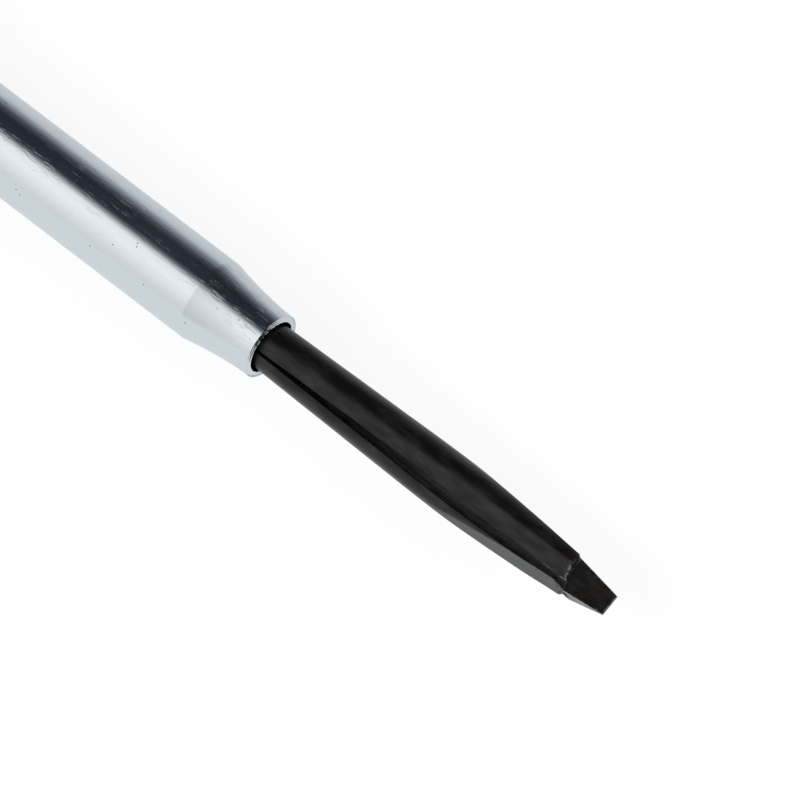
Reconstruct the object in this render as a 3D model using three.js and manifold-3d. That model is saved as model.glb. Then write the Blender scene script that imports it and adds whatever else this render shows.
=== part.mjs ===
// Screw-holding screwdriver: a split blade in a sliding sleeve, on a fluted handle.
// Millimetres. The origin is the centre of the flat butt face, +X runs to the blade tip, +Z is up.
import * as THREE from 'three';
import { mergeVertices } from 'three/addons/utils/BufferGeometryUtils.js';
import Module from 'manifold-3d';

const wasm = await Module();
wasm.setup();

// Clearances
const RUNNING_FIT = 0.1;
const SEAT_GAP = 0.15;
const CUT_GAP = 0.3;
const EDGE_BREAK = 0.4;

// How far cuts run past a face, and how far joined shapes run into each other
const OVERRUN = 0.4;

// Split blade: two half-round bars, gaps measured between their inner faces
const BAR_DIAMETER = 5.1;
const SPLIT_TURN = Math.PI / 4;
const MOUTH_TO_BELLY = 25;
const BELLY_TO_SHOULDER = 17.1;
const TONGUE_LENGTH = 4.85;
const ROOT_GAP = 0.2;
const MOUTH_GAP = 0.3;
const BELLY_GAP = 1.4;
const SHOULDER_GAP = 0.93;
const BELLY_BLEND = 4;
const SHOULDER_WIDTH = 3.32;
const FACET_DEPTH = 0.19;
const FACET_LEAN = Math.PI / 9;
const SHOULDER_SLANT = 0.25;
const TONGUE_BASE_WIDTH = 3.76;
const TONGUE_BASE_THICKNESS = 4.4;
const TIP_WIDTH = 2.4;
const TIP_THICKNESS = 0.4;
const TIP_LEAN = Math.PI / 15;
const TONGUE_GAP = 0.06;
const TONGUE_SKEW = 0.45;
const TONGUE_ROOT = 0.35;

// Pivot of the two bars
const PIVOT_BEHIND_MOUTH = 10;
const PIVOT_PIN_DIAMETER = 1.6;
const EYE_WALL = 1.15;
const EYE_THICKNESS = 1.7;
const EYE_NECK_DEPTH = 1.8;
const FORK_LIP = 0.4;

// Shank
const SHANK_DIAMETER = 6.2;
const TANG_LENGTH = 45;
const STOP_RING_THICKNESS = 1.0;
const STOP_GROOVE_DEPTH = 0.5;
const STOP_RING_OPENING = Math.PI / 5;

// Sliding sleeve
const SLEEVE_LENGTH = 74;
const SLEEVE_WALL = 0.9;
const SLEEVE_TRAVEL = 20;
const NOSE_LENGTH = 8.6;
const NOSE_CURVE = 1.7;
const MOUTH_CLEARANCE = 0.325;
const MOUTH_WALL = 0.75;
const BUSH_LENGTH = 17;
const BUSH_WALL = 0.55;
const BUSH_FLANGE = 1.0;
const FRICTION_RING_SECTION = 1.4;

// Thumb collar
const COLLAR_DIAMETER = 15;
const COLLAR_WAIST_DIAMETER = 12.6;
const COLLAR_FLANGE = 2.2;
const COLLAR_GRIP = 9;
const COLLAR_SCREW_BAND = 4.6;
const COLLAR_FACE = 2;
const COLLAR_RIBS = 30;
const COLLAR_RIB_HEIGHT = 0.4;
const SCREW_DIAMETER = 2.5;
const SCREW_SUNK = 0.4;
const SCREW_SLOT_WIDTH = 0.5;
const SCREW_SLOT_DEPTH = 0.7;

// Handle, from the rear: crown, barrel, taper, flare and neck
const HANDLE_DIAMETER = 27;
const HANDLE_REAR_DIAMETER = 24.4;
const WAIST_DIAMETER = 18.4;
const FLARE_DIAMETER = 20;
const NECK_DIAMETER = 14.8;
const CROWN_LENGTH = 7;
const BARREL_LENGTH = 42;
const TAPER_LENGTH = 26;
const FLARE_LENGTH = 8;
const NECK_LENGTH = 7;
const FLUTE_COUNT = 6;
const FLUTE_DEPTH = 1.8;
const FLUTE_SHARPNESS = 1.5;
const FLUTE_RUNOUT = 9;
const FLUTE_INSET = 4;
const CAP_LENGTH = 7;
const CAP_FILLET = 3;
const SPIGOT_DIAMETER = 12;
const SPIGOT_LENGTH = 8;

// Front of the handle
const FERRULE_WALL = 1.1;
const FERRULE_FACE = 1.6;
const TANG_PIN_DIAMETER = 2;
const TANG_PIN_INSET = 0.2;
const BUMPER_THICKNESS = 2;
const BUMPER_DIAMETER = 12;

// Facets
const ROUND_STEPS = 48;
const HIDDEN_STEPS = 32;
const PEG_STEPS = 20;
const BAR_ARC_STEPS = 14;
const BAR_STEP = 2.5;
const TONGUE_STEPS = 6;
const NOSE_STEPS = 8;
const FILLET_STEPS = 4;
const RING_SECTION_STEPS = 10;
const GRIP_STEPS = 5;
const CROWN_STEPS = 4;
const BARREL_STEPS = 6;
const TAPER_STEPS = 7;
const FLARE_STEPS = 3;
const MERGE_DISTANCE = 1e-4;

// Radii that follow from the sizes above
const shankRadius = SHANK_DIAMETER / 2;
const shankHole = shankRadius + RUNNING_FIT;
const sleeveBore = shankHole + BUSH_WALL + RUNNING_FIT;
const sleeveRadius = sleeveBore + SLEEVE_WALL;
const collarBore = sleeveRadius + RUNNING_FIT;
const barRadius = BAR_DIAMETER / 2;
const mouthBore = barRadius + MOUTH_GAP / 2 + MOUTH_CLEARANCE;
const mouthRadius = mouthBore + MOUTH_WALL;
const pinRadius = PIVOT_PIN_DIAMETER / 2;
const eyeRadius = pinRadius + RUNNING_FIT + EYE_WALL;
const ferruleBore = NECK_DIAMETER / 2 + RUNNING_FIT;
const ferruleRadius = ferruleBore + FERRULE_WALL;

// Places along the axis, from the butt face to the tip
const handleRear = CAP_LENGTH + SEAT_GAP;
const barrelRear = handleRear + CROWN_LENGTH;
const taperRear = barrelRear + BARREL_LENGTH;
const flareRear = taperRear + TAPER_LENGTH;
const handleShoulder = flareRear + FLARE_LENGTH;
const neckFront = handleShoulder + NECK_LENGTH;
const ferruleFront = neckFront + SEAT_GAP + FERRULE_FACE;
const bumperRear = ferruleFront + SEAT_GAP;
const bumperFront = bumperRear + BUMPER_THICKNESS;
const collarRear = bumperFront + SEAT_GAP;
const gripRear = collarRear + COLLAR_FLANGE;
const bandRear = gripRear + COLLAR_GRIP;
const collarFront = bandRear + COLLAR_SCREW_BAND;
const pocketRear = collarRear + COLLAR_FACE;
const bushRear = pocketRear + FRICTION_RING_SECTION + 2 * RUNNING_FIT;
const bushFront = bushRear + BUSH_LENGTH;
const tubeRear = bushRear + BUSH_FLANGE + SEAT_GAP;
const mouth = tubeRear + SLEEVE_LENGTH;
const noseRear = mouth - NOSE_LENGTH;
const stopRear = bushFront + SLEEVE_TRAVEL + SEAT_GAP;
const pivot = mouth - PIVOT_BEHIND_MOUTH;
const forkFront = pivot + eyeRadius + FORK_LIP;
const barRear = forkFront + CUT_GAP;
const belly = mouth + MOUTH_TO_BELLY;
const shoulder = belly + BELLY_TO_SHOULDER;
const tip = shoulder + TONGUE_LENGTH;
const tangRear = neckFront - TANG_LENGTH;
const tangPinPlace = (handleShoulder + neckFront) / 2;
const screwPlace = (bandRear + collarFront) / 2;

const Y_AXIS = new THREE.Vector3(0, 1, 0);

// Leaves only positions, merged into one closed skin whose faces point outwards.
function closedSkin(geometry) {
  geometry.deleteAttribute('normal');
  geometry.deleteAttribute('uv');
  const skin = mergeVertices(geometry, MERGE_DISTANCE);
  const place = skin.getAttribute('position');
  const corners = [0, 1, 2].map(() => new THREE.Vector3());
  const kept = [];
  let volume = 0;
  for (let i = 0; i < skin.index.count; i += 3) {
    const face = [0, 1, 2].map((k) => skin.index.getX(i + k));
    if (new Set(face).size === 3) {
      face.forEach((vertex, k) => corners[k].fromBufferAttribute(place, vertex));
      volume += corners[0].dot(corners[1].clone().cross(corners[2]));
      kept.push(face);
    }
  }
  skin.setIndex(kept.flatMap(([a, b, c]) => (volume > 0 ? [a, b, c] : [a, c, b])));
  return skin;
}

function solidOf(geometry) {
  const skin = closedSkin(geometry.clone());
  const vertProperties = new Float32Array(skin.getAttribute('position').array);
  const triVerts = new Uint32Array(skin.index.array);
  return new wasm.Manifold(new wasm.Mesh({ numProp: 3, vertProperties, triVerts }));
}

function geometryOf(solid) {
  const mesh = solid.getMesh();
  const geometry = new THREE.BufferGeometry();
  geometry.setAttribute('position', new THREE.BufferAttribute(new Float32Array(mesh.vertProperties), 3));
  geometry.setIndex(Array.from(mesh.triVerts));
  return geometry;
}

function join(...pieces) {
  return geometryOf(pieces.map(solidOf).reduce((whole, piece) => whole.add(piece)));
}

function cut(base, ...tools) {
  return geometryOf(tools.map(solidOf).reduce((rest, tool) => rest.subtract(tool), solidOf(base)));
}

function overlap(first, second) {
  return geometryOf(solidOf(first).intersect(solidOf(second)));
}

// Turns an outline of [place along X, radius] points about the X axis.
function turned(outline, steps = ROUND_STEPS) {
  const points = outline.map(([x, radius]) => new THREE.Vector2(radius, x));
  return new THREE.LatheGeometry(points, steps).rotateZ(-Math.PI / 2);
}

// Same, for an outline that is a loop clear of the axis.
function turnedRing(outline, steps = ROUND_STEPS) {
  return turned([...outline, outline[0]], steps);
}

function peg(radius, length, centre, direction) {
  const toDirection = new THREE.Quaternion().setFromUnitVectors(Y_AXIS, direction);
  return new THREE.CylinderGeometry(radius, radius, length, PEG_STEPS)
    .applyQuaternion(toDirection)
    .translate(centre.x, centre.y, centre.z);
}

// Skin through rings of equal count, closed at both ends by a fan about each ring's middle.
function loft(rings) {
  const count = rings[0].length;
  const points = rings.flat();
  const index = [];
  for (let r = 0; r + 1 < rings.length; r += 1) {
    for (let k = 0; k < count; k += 1) {
      const a = r * count + k;
      const b = r * count + ((k + 1) % count);
      index.push(a, b, a + count, b, b + count, a + count);
    }
  }
  for (const end of [0, rings.length - 1]) {
    const middle = points.length;
    const centre = new THREE.Vector3();
    rings[end].forEach((point) => centre.addScaledVector(point, 1 / count));
    points.push(centre);
    for (let k = 0; k < count; k += 1) {
      const a = end * count + k;
      const b = end * count + ((k + 1) % count);
      index.push(...(end === 0 ? [middle, b, a] : [middle, a, b]));
    }
  }
  const geometry = new THREE.BufferGeometry().setFromPoints(points);
  geometry.setIndex(index);
  return geometry;
}

// Places from start to end in equal steps of about the given length.
function stations(start, end, step) {
  const count = Math.max(1, Math.round((end - start) / step));
  return Array.from({ length: count + 1 }, (_, i) => start + ((end - start) * i) / count);
}

// Point given along the axis, along the direction in which the bars splay, and along the pivot pin.
function bladePoint(x, splay, pin) {
  const cos = Math.cos(SPLIT_TURN);
  const sin = Math.sin(SPLIT_TURN);
  return new THREE.Vector3(x, splay * cos - pin * sin, splay * sin + pin * cos);
}

function bladeBox(xs, splays, pins) {
  const [length, depth, height] = [xs, splays, pins].map(([from, to]) => to - from);
  const [x, y, z] = [xs, splays, pins].map(([from, to]) => (from + to) / 2);
  return new THREE.BoxGeometry(length, depth, height).translate(x, y, z).rotateX(SPLIT_TURN);
}

const pinDirection = bladePoint(0, 0, 1);

// Gap between the bars: it opens from the root to the belly, bends there and closes to the shoulder.
function splitGap(x) {
  const opening = (BELLY_GAP - MOUTH_GAP) / MOUTH_TO_BELLY;
  const closing = (BELLY_GAP - SHOULDER_GAP) / BELLY_TO_SHOULDER;
  if (x < mouth) {
    return THREE.MathUtils.mapLinear(x, barRear, mouth, ROOT_GAP, MOUTH_GAP);
  }
  const past = x - belly;
  if (Math.abs(past) < BELLY_BLEND) {
    const rounding = ((opening + closing) * (BELLY_BLEND - Math.abs(past)) ** 2) / (4 * BELLY_BLEND);
    return BELLY_GAP + (past < 0 ? opening : -closing) * past - rounding;
  }
  return BELLY_GAP + (past < 0 ? opening : -closing) * past;
}

// Half-round section of the lower bar, with its flat side to the split.
function barRing(x) {
  const flat = -splitGap(x) / 2;
  return Array.from({ length: BAR_ARC_STEPS + 1 }, (_, i) => {
    const angle = Math.PI * (i / BAR_ARC_STEPS - 0.5);
    return bladePoint(x, flat - barRadius * Math.cos(angle), barRadius * Math.sin(angle));
  });
}

// Ring of corners across the axis, leaned forward by the slant towards +Y.
function crossSection(x, corners, slant = 0) {
  return corners.map(([y, z]) => new THREE.Vector3(x + slant * y, y, z));
}

// How far the two round bars reach, with that gap, in a direction turned from +Z about the axis.
function roundReach(gap, turn) {
  return barRadius + (gap / 2) * Math.abs(Math.sin(SPLIT_TURN - turn));
}

// Keeps what lies between two opposite flats, which start at the belly and run in to the shoulder.
function groundFlats(bar, turn, shoulderReach) {
  const side = 2 * BAR_DIAMETER;
  const rings = [barRear - OVERRUN, tip].map((x) => {
    const reach = THREE.MathUtils.mapLinear(x, belly, shoulder, roundReach(BELLY_GAP, turn), shoulderReach);
    return crossSection(x, [[-side, -reach], [side, -reach], [side, reach], [-side, reach]]);
  });
  return overlap(bar, loft(rings).rotateX(turn));
}

// Solid along the leaning, wedge-shaped tip; corners come from its half width, half thickness and
// split slope.
function tipSolid(start, slant, corners) {
  const rings = Array.from({ length: TONGUE_STEPS + 1 }, (_, i) => {
    const s = i / TONGUE_STEPS;
    const w = THREE.MathUtils.lerp(TONGUE_BASE_WIDTH, TIP_WIDTH, s) / 2;
    const t = THREE.MathUtils.lerp(TONGUE_BASE_THICKNESS, TIP_THICKNESS, s) / 2;
    const x = THREE.MathUtils.lerp(start, tip, s);
    return crossSection(x, corners(w, t, (TONGUE_SKEW * t) / w), slant * (1 - s));
  });
  return loft(rings).rotateX(TIP_LEAN);
}

// Lower bar's tongue: the upper part of the tip, above the skewed split.
function tongue() {
  const gap = TONGUE_GAP / 2;
  const corners = (w, t, slope) => [[-w, gap - slope * w], [w, gap + slope * w], [w, t], [-w, t]];
  return tipSolid(shoulder + SEAT_GAP, -SHOULDER_SLANT, corners);
}

// Everything below the skewed split, ahead of the shoulder, where the other bar's tongue lies.
function tongueRoom() {
  const gap = TONGUE_GAP / 2;
  const side = SHOULDER_WIDTH;
  const corners = (w, t, slope) => [
    [-side, gap - slope * side],
    [side, gap + slope * side],
    [side, -2 * side],
    [-side, -2 * side],
  ];
  return tipSolid(shoulder, SHOULDER_SLANT, corners);
}

// Everything ahead of the shoulder that is wider or thicker than the tip.
function shoulderTrim() {
  const side = 2 * BAR_DIAMETER;
  const outline = (w, t) => [[-w, -t], [w, -t], [w, t], [-w, t]];
  const ahead = new THREE.BoxGeometry(TONGUE_LENGTH, side, side).translate((shoulder + tip) / 2, 0, 0);
  return cut(ahead, tipSolid(shoulder - OVERRUN, 0, outline));
}

// Half-round bar with its ground flats, which runs on a little into its tongue.
function groundBar() {
  const front = shoulder + SEAT_GAP + (SHOULDER_SLANT * TONGUE_BASE_WIDTH) / 2 + TONGUE_ROOT;
  const places = [...stations(barRear, mouth, BAR_STEP), ...stations(mouth, front, BAR_STEP).slice(1)];
  const round = loft(places.map(barRing));
  const narrowed = groundFlats(round, Math.PI / 2, SHOULDER_WIDTH / 2);
  const facetReach = roundReach(SHOULDER_GAP, FACET_LEAN) - FACET_DEPTH;
  return cut(groundFlats(narrowed, FACET_LEAN, facetReach), tongueRoom(), shoulderTrim());
}

// One bar with its eye and tongue; the other one is the same piece, turned half round the axis.
function bladeHalf() {
  const eyePins = [RUNNING_FIT / 2, RUNNING_FIT / 2 + EYE_THICKNESS];
  const eyeMiddle = (eyePins[0] + eyePins[1]) / 2;
  const eye = peg(eyeRadius, EYE_THICKNESS, bladePoint(pivot, 0, eyeMiddle), pinDirection);
  const neck = bladeBox([pivot, barRear + OVERRUN], [-EYE_NECK_DEPTH, -ROOT_GAP], eyePins);
  const pinHole = peg(pinRadius + RUNNING_FIT, SHANK_DIAMETER, bladePoint(pivot, 0, 0), pinDirection);
  return cut(join(groundBar(), tongue(), eye, neck), pinHole);
}

function pivotPin() {
  const reach = Math.sqrt(shankRadius ** 2 - pinRadius ** 2) - RUNNING_FIT;
  return peg(pinRadius, 2 * reach, bladePoint(pivot, 0, 0), pinDirection);
}

function shank() {
  const rod = turned([
    [tangRear, 0],
    [tangRear, shankRadius - EDGE_BREAK],
    [tangRear + EDGE_BREAK, shankRadius],
    [stopRear - RUNNING_FIT, shankRadius],
    [stopRear - RUNNING_FIT, shankRadius - STOP_GROOVE_DEPTH],
    [stopRear + STOP_RING_THICKNESS + RUNNING_FIT, shankRadius - STOP_GROOVE_DEPTH],
    [stopRear + STOP_RING_THICKNESS + RUNNING_FIT, shankRadius],
    [forkFront - EDGE_BREAK, shankRadius],
    [forkFront, shankRadius - EDGE_BREAK],
    [forkFront, 0],
  ]);
  const slotHalf = EYE_THICKNESS + 1.5 * RUNNING_FIT;
  const slotRear = pivot - eyeRadius - CUT_GAP;
  const slot = bladeBox(
    [slotRear, forkFront + OVERRUN],
    [-SHANK_DIAMETER, SHANK_DIAMETER],
    [-slotHalf, slotHalf],
  );
  const pinHole = peg(pinRadius + RUNNING_FIT, 2 * SHANK_DIAMETER, bladePoint(pivot, 0, 0), pinDirection);
  return cut(rod, slot, pinHole, tangPinHole());
}

function tangPinHole() {
  const centre = new THREE.Vector3(tangPinPlace, 0, 0);
  return peg(TANG_PIN_DIAMETER / 2 + RUNNING_FIT, 3 * ferruleRadius, centre, Y_AXIS);
}

function tangPin() {
  const length = 2 * (ferruleRadius - TANG_PIN_INSET);
  return peg(TANG_PIN_DIAMETER / 2, length, new THREE.Vector3(tangPinPlace, 0, 0), Y_AXIS);
}

// Open ring in the groove of the shank, with its opening upwards.
function stopRing() {
  const outer = sleeveBore - SEAT_GAP;
  const inner = shankRadius - STOP_GROOVE_DEPTH + RUNNING_FIT;
  const start = STOP_RING_OPENING / 2;
  const end = 2 * Math.PI - start;
  const outline = new THREE.Shape();
  outline.absarc(0, 0, outer, start, end, false);
  outline.absarc(0, 0, inner, end, start, true);
  outline.closePath();
  const options = { depth: STOP_RING_THICKNESS, bevelEnabled: false, curveSegments: HIDDEN_STEPS };
  return new THREE.ExtrudeGeometry(outline, options).rotateY(Math.PI / 2).translate(stopRear, 0, 0);
}

// Tube whose nose is swaged down in a curve that flattens towards the mouth.
function sleeveTube() {
  const nose = Array.from({ length: NOSE_STEPS + 1 }, (_, i) => i / NOSE_STEPS);
  const curve = (from, to) => nose.map((s) => [
    noseRear + s * (NOSE_LENGTH - SEAT_GAP),
    THREE.MathUtils.lerp(to, from, (1 - s) ** NOSE_CURVE),
  ]);
  return turnedRing([
    [tubeRear, sleeveBore],
    [tubeRear, sleeveRadius],
    ...curve(sleeveRadius, mouthRadius),
    [mouth, mouthRadius - SEAT_GAP],
    [mouth, mouthBore],
    ...curve(sleeveBore, mouthBore).reverse(),
  ]);
}

function guideBush() {
  const body = sleeveBore - RUNNING_FIT;
  return turnedRing([
    [bushRear, shankHole],
    [bushRear, sleeveRadius],
    [bushRear + BUSH_FLANGE, sleeveRadius],
    [bushRear + BUSH_FLANGE, body],
    [bushFront, body],
    [bushFront, shankHole],
  ], HIDDEN_STEPS);
}

function frictionRing() {
  const section = FRICTION_RING_SECTION / 2;
  const middle = pocketRear + RUNNING_FIT + section;
  return new THREE.TorusGeometry(shankHole + section, section, RING_SECTION_STEPS, HIDDEN_STEPS)
    .rotateY(Math.PI / 2)
    .translate(middle, 0, 0);
}

// Collar with two smooth flanges and a hollowed grip with straight ribs between them.
function collarRing(x, radius, ribHeight) {
  return Array.from({ length: 2 * COLLAR_RIBS }, (_, i) => {
    const angle = (Math.PI * i) / COLLAR_RIBS;
    const r = radius - (i % 2) * ribHeight;
    return new THREE.Vector3(x, r * Math.cos(angle), r * Math.sin(angle));
  });
}

function thumbCollar() {
  const flange = COLLAR_DIAMETER / 2;
  const hollow = (COLLAR_DIAMETER - COLLAR_WAIST_DIAMETER) / 2;
  const grip = stations(gripRear, bandRear, COLLAR_GRIP / GRIP_STEPS).map((x) => {
    const u = (2 * (x - gripRear)) / COLLAR_GRIP - 1;
    return collarRing(x, flange - hollow * (1 - u ** 2), COLLAR_RIB_HEIGHT);
  });
  const body = loft([
    collarRing(collarRear, flange - EDGE_BREAK, 0),
    collarRing(collarRear + EDGE_BREAK, flange, 0),
    collarRing(gripRear - EDGE_BREAK, flange, 0),
    ...grip,
    collarRing(bandRear + EDGE_BREAK, flange, 0),
    collarRing(collarFront - EDGE_BREAK, flange, 0),
    collarRing(collarFront, flange - EDGE_BREAK, 0),
  ]);
  const bore = turned([
    [collarRear - OVERRUN, 0],
    [collarRear - OVERRUN, shankHole],
    [pocketRear, shankHole],
    [pocketRear, collarBore],
    [collarFront + OVERRUN, collarBore],
    [collarFront + OVERRUN, 0],
  ]);
  const centre = new THREE.Vector3(screwPlace, 0, 0);
  const screwHoles = peg(SCREW_DIAMETER / 2 + RUNNING_FIT, 2 * COLLAR_DIAMETER, centre, Y_AXIS);
  return cut(body, bore, screwHoles);
}

// Set screw on the +Y side, its slot outwards.
function collarScrew() {
  const inner = collarBore;
  const outer = COLLAR_DIAMETER / 2 - SCREW_SUNK;
  const centre = new THREE.Vector3(screwPlace, (inner + outer) / 2, 0);
  const body = peg(SCREW_DIAMETER / 2, outer - inner, centre, Y_AXIS);
  const slot = new THREE.BoxGeometry(2 * SCREW_DIAMETER, 2 * SCREW_SLOT_DEPTH, SCREW_SLOT_WIDTH)
    .translate(screwPlace, outer, 0);
  return cut(body, slot);
}

function eased(from, to, x, start, end) {
  return THREE.MathUtils.lerp(from, to, THREE.MathUtils.smoothstep(x, start, end));
}

function handleRadius(x) {
  if (x < barrelRear) {
    const rise = Math.sin((Math.PI / 2) * ((x - handleRear) / CROWN_LENGTH));
    return THREE.MathUtils.lerp(HANDLE_REAR_DIAMETER, HANDLE_DIAMETER, rise) / 2;
  }
  if (x < flareRear) {
    return eased(HANDLE_DIAMETER, WAIST_DIAMETER, x, taperRear, flareRear) / 2;
  }
  return eased(WAIST_DIAMETER, FLARE_DIAMETER, x, flareRear, handleShoulder) / 2;
}

// Flutes start at the crown and run out in the taper; the lands between them carry the handle.
function handleRing(x) {
  const start = handleRear + FLUTE_INSET;
  const end = flareRear - FLUTE_INSET;
  const fadeIn = THREE.MathUtils.smoothstep(x, start, start + FLUTE_RUNOUT);
  const fadeOut = 1 - THREE.MathUtils.smoothstep(x, end - FLUTE_RUNOUT, end);
  const depth = FLUTE_DEPTH * fadeIn * fadeOut;
  return Array.from({ length: ROUND_STEPS }, (_, i) => {
    const angle = (2 * Math.PI * i) / ROUND_STEPS;
    const hollow = (0.5 - 0.5 * Math.cos(FLUTE_COUNT * angle)) ** FLUTE_SHARPNESS;
    const r = handleRadius(x) - depth * hollow;
    return new THREE.Vector3(x, r * Math.cos(angle), r * Math.sin(angle));
  });
}

function handle() {
  const places = [
    ...stations(handleRear, barrelRear, CROWN_LENGTH / CROWN_STEPS),
    ...stations(barrelRear, taperRear, BARREL_LENGTH / BARREL_STEPS).slice(1),
    ...stations(taperRear, flareRear, TAPER_LENGTH / TAPER_STEPS).slice(1),
    ...stations(flareRear, handleShoulder, FLARE_LENGTH / FLARE_STEPS).slice(1),
  ];
  const body = loft(places.map(handleRing));
  const neckRadius = NECK_DIAMETER / 2;
  const neck = turned([
    [handleShoulder - OVERRUN, 0],
    [handleShoulder - OVERRUN, neckRadius],
    [neckFront, neckRadius],
    [neckFront, 0],
  ]);
  const tangBore = turned([
    [tangRear - CUT_GAP, 0],
    [tangRear - CUT_GAP, shankHole],
    [neckFront + OVERRUN, shankHole],
    [neckFront + OVERRUN, 0],
  ]);
  const spigotBore = turned([
    [handleRear - OVERRUN, 0],
    [handleRear - OVERRUN, SPIGOT_DIAMETER / 2 + RUNNING_FIT],
    [CAP_LENGTH + SPIGOT_LENGTH + CUT_GAP, SPIGOT_DIAMETER / 2 + RUNNING_FIT],
    [CAP_LENGTH + SPIGOT_LENGTH + CUT_GAP, 0],
  ]);
  return cut(join(body, neck), tangBore, spigotBore, tangPinHole());
}

function buttCap() {
  const radius = HANDLE_REAR_DIAMETER / 2;
  const edge = Array.from({ length: FILLET_STEPS + 1 }, (_, i) => {
    const angle = (Math.PI / 2) * (i / FILLET_STEPS);
    return [CAP_FILLET * (1 - Math.cos(angle)), radius - CAP_FILLET * (1 - Math.sin(angle))];
  });
  return turned([
    [0, 0],
    ...edge,
    [CAP_LENGTH, radius],
    [CAP_LENGTH, SPIGOT_DIAMETER / 2],
    [CAP_LENGTH + SPIGOT_LENGTH, SPIGOT_DIAMETER / 2],
    [CAP_LENGTH + SPIGOT_LENGTH, 0],
  ]);
}

function ferrule() {
  const rear = handleShoulder + SEAT_GAP;
  const shell = turnedRing([
    [rear, ferruleBore],
    [rear, ferruleRadius],
    [ferruleFront - EDGE_BREAK, ferruleRadius],
    [ferruleFront, ferruleRadius - EDGE_BREAK],
    [ferruleFront, shankHole],
    [ferruleFront - FERRULE_FACE, shankHole],
    [ferruleFront - FERRULE_FACE, ferruleBore],
  ]);
  return cut(shell, tangPinHole());
}

function bumperWasher() {
  const radius = BUMPER_DIAMETER / 2;
  return turnedRing([
    [bumperRear, shankHole],
    [bumperRear, radius - EDGE_BREAK],
    [bumperRear + EDGE_BREAK, radius],
    [bumperFront - EDGE_BREAK, radius],
    [bumperFront, radius - EDGE_BREAK],
    [bumperFront, shankHole],
  ], HIDDEN_STEPS);
}

function addPiece(group, name, geometry, color, roughness, metalness) {
  const skin = closedSkin(geometry);
  skin.computeVertexNormals();
  const mesh = new THREE.Mesh(skin, new THREE.MeshStandardMaterial({ color, roughness, metalness }));
  mesh.name = name;
  group.add(mesh);
  return mesh;
}

// Colours
const PLATED_STEEL = 0xc9ced3;
const BLACK_OXIDE = 0x1b1a1a;
const PLAIN_STEEL = 0x8e9094;
const BRASS = 0xb08d4f;
const RUBBER = 0x1d1d1e;
const HANDLE_RED = 0x9c1f1b;
const CAP_BLACK = 0x232324;

const screwdriver = new THREE.Group();
const grip = new THREE.Group();
const blade = new THREE.Group();
const sleeve = new THREE.Group();
screwdriver.add(grip, blade, sleeve);

addPiece(grip, 'butt_cap', buttCap(), CAP_BLACK, 0.45, 0);
addPiece(grip, 'handle', handle(), HANDLE_RED, 0.3, 0);
addPiece(grip, 'ferrule', ferrule(), PLATED_STEEL, 0.3, 1);
addPiece(grip, 'tang_pin', tangPin(), PLAIN_STEEL, 0.4, 1);
addPiece(grip, 'bumper_washer', bumperWasher(), RUBBER, 0.8, 0);
addPiece(grip, 'shank', shank(), PLAIN_STEEL, 0.35, 1);
addPiece(grip, 'stop_ring', stopRing(), BLACK_OXIDE, 0.4, 1);
addPiece(blade, 'pivot_pin', pivotPin(), PLAIN_STEEL, 0.35, 1);
addPiece(blade, 'lower_blade_half', bladeHalf(), BLACK_OXIDE, 0.42, 0.6);
addPiece(blade, 'upper_blade_half', bladeHalf(), BLACK_OXIDE, 0.42, 0.6).rotation.x = Math.PI;
addPiece(sleeve, 'sleeve_tube', sleeveTube(), PLATED_STEEL, 0.2, 1);
addPiece(sleeve, 'guide_bush', guideBush(), BRASS, 0.35, 1);
addPiece(sleeve, 'friction_ring', frictionRing(), RUBBER, 0.7, 0);
addPiece(sleeve, 'thumb_collar', thumbCollar(), PLATED_STEEL, 0.35, 1);
addPiece(sleeve, 'collar_screw_left', collarScrew(), PLAIN_STEEL, 0.4, 1);
addPiece(sleeve, 'collar_screw_right', collarScrew(), PLAIN_STEEL, 0.4, 1).rotation.x = Math.PI;

export default screwdriver;
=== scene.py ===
"""Looks of a screw-holding screwdriver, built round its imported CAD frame.

The two blade halves, the sliding sleeve, the handle and its cap are remade as fine meshes that
stand for their CAD nodes. The other pieces are rounded copies of their CAD meshes. Sizes in the
dataclasses are in millimetres, and meshes are in metres in the frame of the CAD: the origin is the
middle of the butt face, +X runs along the axis to the tip, and +Z is up.
"""

from __future__ import annotations

import logging
import math
from collections.abc import Callable, Sequence
from dataclasses import dataclass, field
from enum import Enum

import bmesh
import bpy
from mathutils import Matrix, Vector, noise


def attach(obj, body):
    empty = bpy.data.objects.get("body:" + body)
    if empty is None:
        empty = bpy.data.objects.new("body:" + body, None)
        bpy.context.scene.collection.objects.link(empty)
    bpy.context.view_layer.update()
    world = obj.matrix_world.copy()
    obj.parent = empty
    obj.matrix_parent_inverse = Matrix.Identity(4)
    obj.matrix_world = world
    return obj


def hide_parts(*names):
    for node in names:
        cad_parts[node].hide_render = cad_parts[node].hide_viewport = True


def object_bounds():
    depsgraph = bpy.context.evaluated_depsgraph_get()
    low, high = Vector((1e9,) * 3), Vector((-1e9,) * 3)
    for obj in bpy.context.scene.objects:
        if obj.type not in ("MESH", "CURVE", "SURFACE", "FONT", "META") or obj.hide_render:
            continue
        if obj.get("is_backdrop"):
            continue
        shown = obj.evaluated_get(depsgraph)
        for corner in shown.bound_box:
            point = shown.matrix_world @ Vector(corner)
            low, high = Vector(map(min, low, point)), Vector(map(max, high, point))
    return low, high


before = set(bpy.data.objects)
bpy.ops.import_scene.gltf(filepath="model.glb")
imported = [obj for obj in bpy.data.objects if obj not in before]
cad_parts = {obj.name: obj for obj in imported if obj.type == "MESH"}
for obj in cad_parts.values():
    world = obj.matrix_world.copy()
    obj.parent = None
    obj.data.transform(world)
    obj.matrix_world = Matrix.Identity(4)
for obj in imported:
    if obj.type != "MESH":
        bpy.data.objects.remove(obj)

LOG = logging.getLogger("screwdriver")
MM = 0.001

# Front of the sleeve along the axis, with the sleeve back
MOUTH = 179.95
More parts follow.
